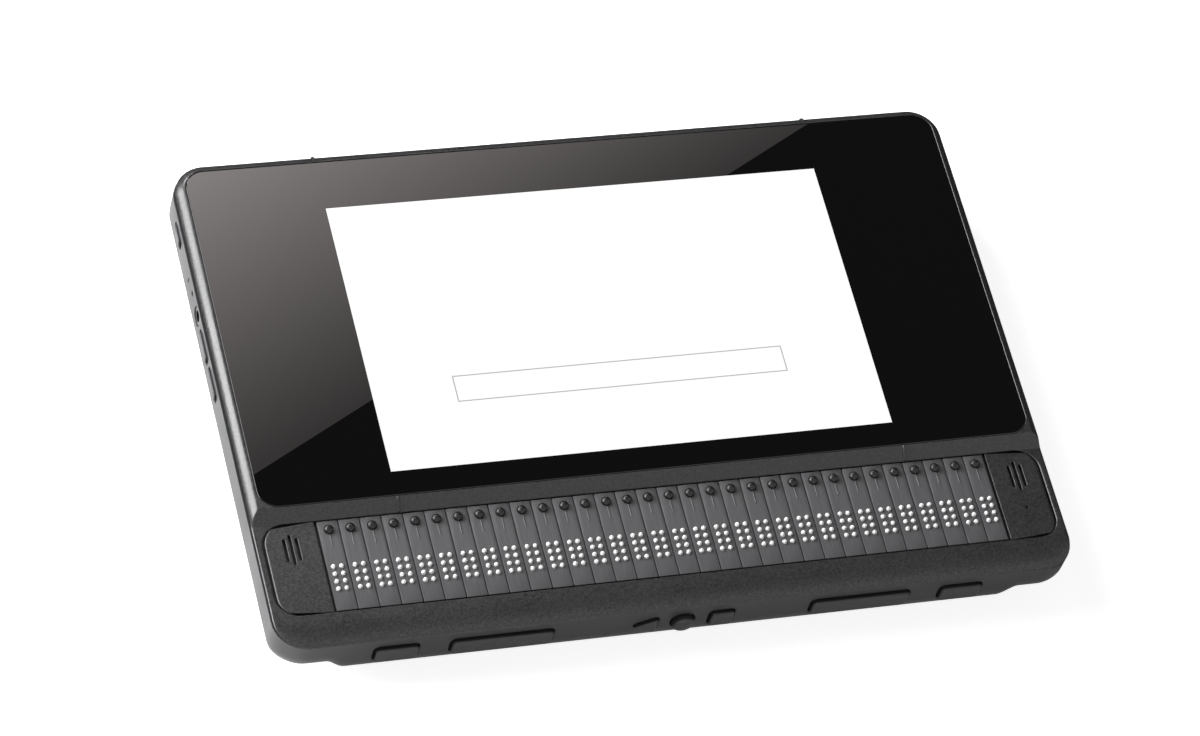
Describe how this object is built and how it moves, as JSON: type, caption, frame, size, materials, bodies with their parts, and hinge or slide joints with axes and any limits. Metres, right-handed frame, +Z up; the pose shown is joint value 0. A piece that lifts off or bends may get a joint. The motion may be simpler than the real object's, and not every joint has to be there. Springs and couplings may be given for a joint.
{
  "type": "braille notetaker",
  "caption": "Portable braille notetaker: a flat charcoal slab with a touch screen, a line of braille cells with routing buttons, and thumb keys on the front edge",
  "frame": {"origin": "the middle of the body, on the plane the feet rest on", "axes": "+X to the reader's right along the braille line, +Y from the reader to the back edge, +Z up from the table"},
  "size_m": [0.2446, 0.1666, 0.025],
  "materials": {
    "shell_plastic": "fine matte charcoal",
    "cover_plastic": "fine matte charcoal",
    "glass": "polished, black behind",
    "lcd": "lit white",
    "cap_plastic": "satin grey",
    "cell_plastic": "moulded",
    "speaker_plastic": "moulded",
    "board": "lacquered",
    "jack_plastic": "smooth black",
    "battery_wrap": "wrapped",
    "foot_rubber": "matte",
    "screw_steel": "plain",
    "key_plastic": "satin charcoal",
    "pin_plastic": "polished white",
    "button_plastic": "polished black"
  },
  "bodies": {
    "chassis": {"lower_shell": "shell_plastic", "top_cover": "cover_plastic", "screen_glass": "glass", "lcd_panel": "lcd", "cell_caps": "cap_plastic", "braille_cells": "cell_plastic", "left_speaker_panel": "cap_plastic", "right_speaker_panel": "cap_plastic", "speakers": "speaker_plastic", "main_board": "board", "key_board": "board", "headphone_jack": "jack_plastic", "battery": "battery_wrap", "battery_door": "shell_plastic", "rubber_feet": "foot_rubber", "case_screws": "screw_steel"},
    "left_short_key": {"left_short_key": "key_plastic"},
    "left_long_key": {"left_long_key": "key_plastic"},
    "triangle_key": {"triangle_key": "key_plastic"},
    "round_key": {"round_key": "key_plastic"},
    "square_key": {"square_key": "key_plastic"},
    "right_long_key": {"right_long_key": "key_plastic"},
    "right_short_key": {"right_short_key": "key_plastic"},
    "power_key": {"power_key": "key_plastic"},
    "volume_up_key": {"volume_up_key": "key_plastic"},
    "volume_down_key": {"volume_down_key": "key_plastic"},
    "text_pins": {"text_pins": "pin_plastic"},
    "cursor_pins": {"cursor_pins": "pin_plastic"},
    "routing_button_01": {"routing_button_01": "button_plastic"},
    "routing_button_02": {"routing_button_02": "button_plastic"},
    "routing_button_03": {"routing_button_03": "button_plastic"},
    "routing_button_04": {"routing_button_04": "button_plastic"},
    "routing_button_05": {"routing_button_05": "button_plastic"},
    "routing_button_06": {"routing_button_06": "button_plastic"},
    "routing_button_07": {"routing_button_07": "button_plastic"},
    "routing_button_08": {"routing_button_08": "button_plastic"},
    "routing_button_09": {"routing_button_09": "button_plastic"},
    "routing_button_10": {"routing_button_10": "button_plastic"},
    "routing_button_11": {"routing_button_11": "button_plastic"},
    "routing_button_12": {"routing_button_12": "button_plastic"},
    "routing_button_13": {"routing_button_13": "button_plastic"},
    "routing_button_14": {"routing_button_14": "button_plastic"},
    "routing_button_15": {"routing_button_15": "button_plastic"},
    "routing_button_16": {"routing_button_16": "button_plastic"},
    "routing_button_17": {"routing_button_17": "button_plastic"},
    "routing_button_18": {"routing_button_18": "button_plastic"},
    "routing_button_19": {"routing_button_19": "button_plastic"},
    "routing_button_20": {"routing_button_20": "button_plastic"},
    "routing_button_21": {"routing_button_21": "button_plastic"},
    "routing_button_22": {"routing_button_22": "button_plastic"},
    "routing_button_23": {"routing_button_23": "button_plastic"},
    "routing_button_24": {"routing_button_24": "button_plastic"},
    "routing_button_25": {"routing_button_25": "button_plastic"},
    "routing_button_26": {"routing_button_26": "button_plastic"},
    "routing_button_27": {"routing_button_27": "button_plastic"},
    "routing_button_28": {"routing_button_28": "button_plastic"},
    "routing_button_29": {"routing_button_29": "button_plastic"},
    "routing_button_30": {"routing_button_30": "button_plastic"},
    "routing_button_31": {"routing_button_31": "button_plastic"},
    "routing_button_32": {"routing_button_32": "button_plastic"}
  },
  "joints": [
    {"name": "left_short_key_press", "type": "slide", "parent": "chassis", "child": "left_short_key", "axis": [0, 1, 0], "range_m": [0, 0.0008], "stiffness_N_per_m": 400},
    {"name": "left_long_key_press", "type": "slide", "parent": "chassis", "child": "left_long_key", "axis": [0, 1, 0], "range_m": [0, 0.0008], "stiffness_N_per_m": 400},
    {"name": "triangle_key_press", "type": "slide", "parent": "chassis", "child": "triangle_key", "axis": [0, 1, 0], "range_m": [0, 0.0008], "stiffness_N_per_m": 400},
    {"name": "round_key_press", "type": "slide", "parent": "chassis", "child": "round_key", "axis": [0, 1, 0], "range_m": [0, 0.0008], "stiffness_N_per_m": 400},
    {"name": "square_key_press", "type": "slide", "parent": "chassis", "child": "square_key", "axis": [0, 1, 0], "range_m": [0, 0.0008], "stiffness_N_per_m": 400},
    {"name": "right_long_key_press", "type": "slide", "parent": "chassis", "child": "right_long_key", "axis": [0, 1, 0], "range_m": [0, 0.0008], "stiffness_N_per_m": 400},
    {"name": "right_short_key_press", "type": "slide", "parent": "chassis", "child": "right_short_key", "axis": [0, 1, 0], "range_m": [0, 0.0008], "stiffness_N_per_m": 400},
    {"name": "power_key_press", "type": "slide", "parent": "chassis", "child": "power_key", "axis": [1, 0, 0], "range_m": [0, 0.0005], "stiffness_N_per_m": 600},
    {"name": "volume_up_key_press", "type": "slide", "parent": "chassis", "child": "volume_up_key", "axis": [1, 0, 0], "range_m": [0, 0.0005], "stiffness_N_per_m": 600},
    {"name": "volume_down_key_press", "type": "slide", "parent": "chassis", "child": "volume_down_key", "axis": [1, 0, 0], "range_m": [0, 0.0005], "stiffness_N_per_m": 600},
    {"name": "text_pins_drop", "type": "slide", "parent": "chassis", "child": "text_pins", "axis": [0, 0, -1], "range_m": [0, 0.0007], "stiffness_N_per_m": 400},
    {"name": "cursor_pins_drop", "type": "slide", "parent": "chassis", "child": "cursor_pins", "axis": [0, 0, -1], "range_m": [0, 0.0007], "stiffness_N_per_m": 400},
    {"name": "routing_button_01_press", "type": "slide", "parent": "chassis", "child": "routing_button_01", "axis": [0, 0, -1], "range_m": [0, 0.0005], "stiffness_N_per_m": 500},
    {"name": "routing_button_02_press", "type": "slide", "parent": "chassis", "child": "routing_button_02", "axis": [0, 0, -1], "range_m": [0, 0.0005], "stiffness_N_per_m": 500},
    {"name": "routing_button_03_press", "type": "slide", "parent": "chassis", "child": "routing_button_03", "axis": [0, 0, -1], "range_m": [0, 0.0005], "stiffness_N_per_m": 500},
    {"name": "routing_button_04_press", "type": "slide", "parent": "chassis", "child": "routing_button_04", "axis": [0, 0, -1], "range_m": [0, 0.0005], "stiffness_N_per_m": 500},
    {"name": "routing_button_05_press", "type": "slide", "parent": "chassis", "child": "routing_button_05", "axis": [0, 0, -1], "range_m": [0, 0.0005], "stiffness_N_per_m": 500},
    {"name": "routing_button_06_press", "type": "slide", "parent": "chassis", "child": "routing_button_06", "axis": [0, 0, -1], "range_m": [0, 0.0005], "stiffness_N_per_m": 500},
    {"name": "routing_button_07_press", "type": "slide", "parent": "chassis", "child": "routing_button_07", "axis": [0, 0, -1], "range_m": [0, 0.0005], "stiffness_N_per_m": 500},
    {"name": "routing_button_08_press", "type": "slide", "parent": "chassis", "child": "routing_button_08", "axis": [0, 0, -1], "range_m": [0, 0.0005], "stiffness_N_per_m": 500},
    {"name": "routing_button_09_press", "type": "slide", "parent": "chassis", "child": "routing_button_09", "axis": [0, 0, -1], "range_m": [0, 0.0005], "stiffness_N_per_m": 500},
    {"name": "routing_button_10_press", "type": "slide", "parent": "chassis", "child": "routing_button_10", "axis": [0, 0, -1], "range_m": [0, 0.0005], "stiffness_N_per_m": 500},
    {"name": "routing_button_11_press", "type": "slide", "parent": "chassis", "child": "routing_button_11", "axis": [0, 0, -1], "range_m": [0, 0.0005], "stiffness_N_per_m": 500},
    {"name": "routing_button_12_press", "type": "slide", "parent": "chassis", "child": "routing_button_12", "axis": [0, 0, -1], "range_m": [0, 0.0005], "stiffness_N_per_m": 500},
    {"name": "routing_button_13_press", "type": "slide", "parent": "chassis", "child": "routing_button_13", "axis": [0, 0, -1], "range_m": [0, 0.0005], "stiffness_N_per_m": 500},
    {"name": "routing_button_14_press", "type": "slide", "parent": "chassis", "child": "routing_button_14", "axis": [0, 0, -1], "range_m": [0, 0.0005], "stiffness_N_per_m": 500},
    {"name": "routing_button_15_press", "type": "slide", "parent": "chassis", "child": "routing_button_15", "axis": [0, 0, -1], "range_m": [0, 0.0005], "stiffness_N_per_m": 500},
    {"name": "routing_button_16_press", "type": "slide", "parent": "chassis", "child": "routing_button_16", "axis": [0, 0, -1], "range_m": [0, 0.0005], "stiffness_N_per_m": 500},
    {"name": "routing_button_17_press", "type": "slide", "parent": "chassis", "child": "routing_button_17", "axis": [0, 0, -1], "range_m": [0, 0.0005], "stiffness_N_per_m": 500},
    {"name": "routing_button_18_press", "type": "slide", "parent": "chassis", "child": "routing_button_18", "axis": [0, 0, -1], "range_m": [0, 0.0005], "stiffness_N_per_m": 500},
    {"name": "routing_button_19_press", "type": "slide", "parent": "chassis", "child": "routing_button_19", "axis": [0, 0, -1], "range_m": [0, 0.0005], "stiffness_N_per_m": 500},
    {"name": "routing_button_20_press", "type": "slide", "parent": "chassis", "child": "routing_button_20", "axis": [0, 0, -1], "range_m": [0, 0.0005], "stiffness_N_per_m": 500},
    {"name": "routing_button_21_press", "type": "slide", "parent": "chassis", "child": "routing_button_21", "axis": [0, 0, -1], "range_m": [0, 0.0005], "stiffness_N_per_m": 500},
    {"name": "routing_button_22_press", "type": "slide", "parent": "chassis", "child": "routing_button_22", "axis": [0, 0, -1], "range_m": [0, 0.0005], "stiffness_N_per_m": 500},
    {"name": "routing_button_23_press", "type": "slide", "parent": "chassis", "child": "routing_button_23", "axis": [0, 0, -1], "range_m": [0, 0.0005], "stiffness_N_per_m": 500},
    {"name": "routing_button_24_press", "type": "slide", "parent": "chassis", "child": "routing_button_24", "axis": [0, 0, -1], "range_m": [0, 0.0005], "stiffness_N_per_m": 500},
    {"name": "routing_button_25_press", "type": "slide", "parent": "chassis", "child": "routing_button_25", "axis": [0, 0, -1], "range_m": [0, 0.0005], "stiffness_N_per_m": 500},
    {"name": "routing_button_26_press", "type": "slide", "parent": "chassis", "child": "routing_button_26", "axis": [0, 0, -1], "range_m": [0, 0.0005], "stiffness_N_per_m": 500},
    {"name": "routing_button_27_press", "type": "slide", "parent": "chassis", "child": "routing_button_27", "axis": [0, 0, -1], "range_m": [0, 0.0005], "stiffness_N_per_m": 500},
    {"name": "routing_button_28_press", "type": "slide", "parent": "chassis", "child": "routing_button_28", "axis": [0, 0, -1], "range_m": [0, 0.0005], "stiffness_N_per_m": 500},
    {"name": "routing_button_29_press", "type": "slide", "parent": "chassis", "child": "routing_button_29", "axis": [0, 0, -1], "range_m": [0, 0.0005], "stiffness_N_per_m": 500},
    {"name": "routing_button_30_press", "type": "slide", "parent": "chassis", "child": "routing_button_30", "axis": [0, 0, -1], "range_m": [0, 0.0005], "stiffness_N_per_m": 500},
    {"name": "routing_button_31_press", "type": "slide", "parent": "chassis", "child": "routing_button_31", "axis": [0, 0, -1], "range_m": [0, 0.0005], "stiffness_N_per_m": 500},
    {"name": "routing_button_32_press", "type": "slide", "parent": "chassis", "child": "routing_button_32", "axis": [0, 0, -1], "range_m": [0, 0.0005], "stiffness_N_per_m": 500}
  ]
}
